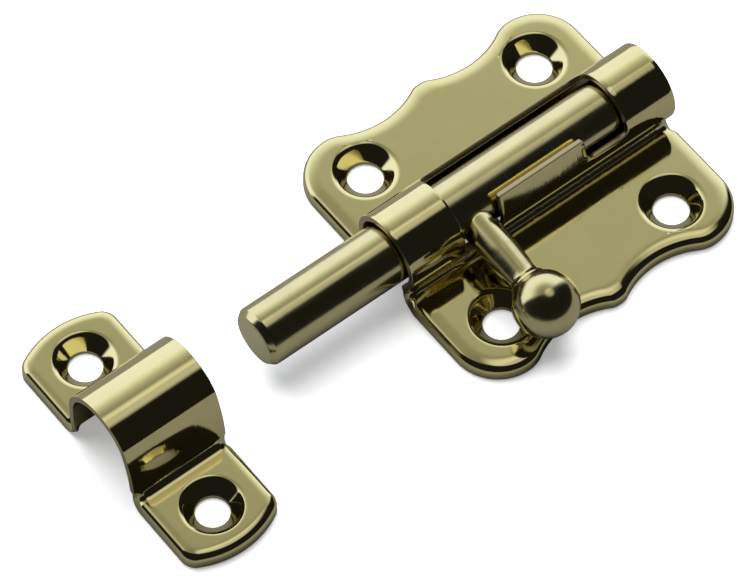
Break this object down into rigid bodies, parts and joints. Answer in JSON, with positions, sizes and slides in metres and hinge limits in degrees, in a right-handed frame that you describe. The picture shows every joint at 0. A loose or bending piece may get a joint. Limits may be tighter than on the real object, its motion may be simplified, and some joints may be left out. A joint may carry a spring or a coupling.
{
  "type": "toggle bolt latch",
  "caption": "Small pressed-sheet barrel bolt with a butterfly back plate, a sliding rod with a ball knob that turns down into a notch, and a separate arched keeper.",
  "frame": {"origin": "on the mounting face, under the middle of the whole set's bounding box", "axes": "+X along the rod, the way it is thrown, towards the keeper; +Y towards the knob; +Z out of the mounting face"},
  "size_m": [0.063, 0.0314, 0.0099],
  "materials": {
    "plated_sheet": "bright brass-plated pressed sheet, mirror-like, with fine press marks",
    "plated_rod": "brass-plated turned bar, slightly rougher, with fine lengthwise scratches"
  },
  "bodies": {
    "plate": {"back_plate": "plated_sheet"},
    "rod": {"bolt_rod": "plated_rod"},
    "knob": {"knob": "plated_rod"},
    "keeper": {"keeper": "plated_sheet"}
  },
  "joints": [
    {"name": "rod_slide", "type": "slide", "parent": "plate", "child": "rod", "axis": [1, 0, 0], "range_m": [-0.0002, 0.0005]},
    {"name": "knob_turn", "type": "hinge", "parent": "rod", "child": "knob", "pos_m": [-0.00907, -0.0004, 0.0052], "axis": [1, 0, 0], "range_deg": [0, 115]},
    {"name": "keeper_place", "type": "slide", "parent": "plate", "child": "keeper", "axis": [1, 0, 0], "range_m": [-0.014, 0]}
  ]
}
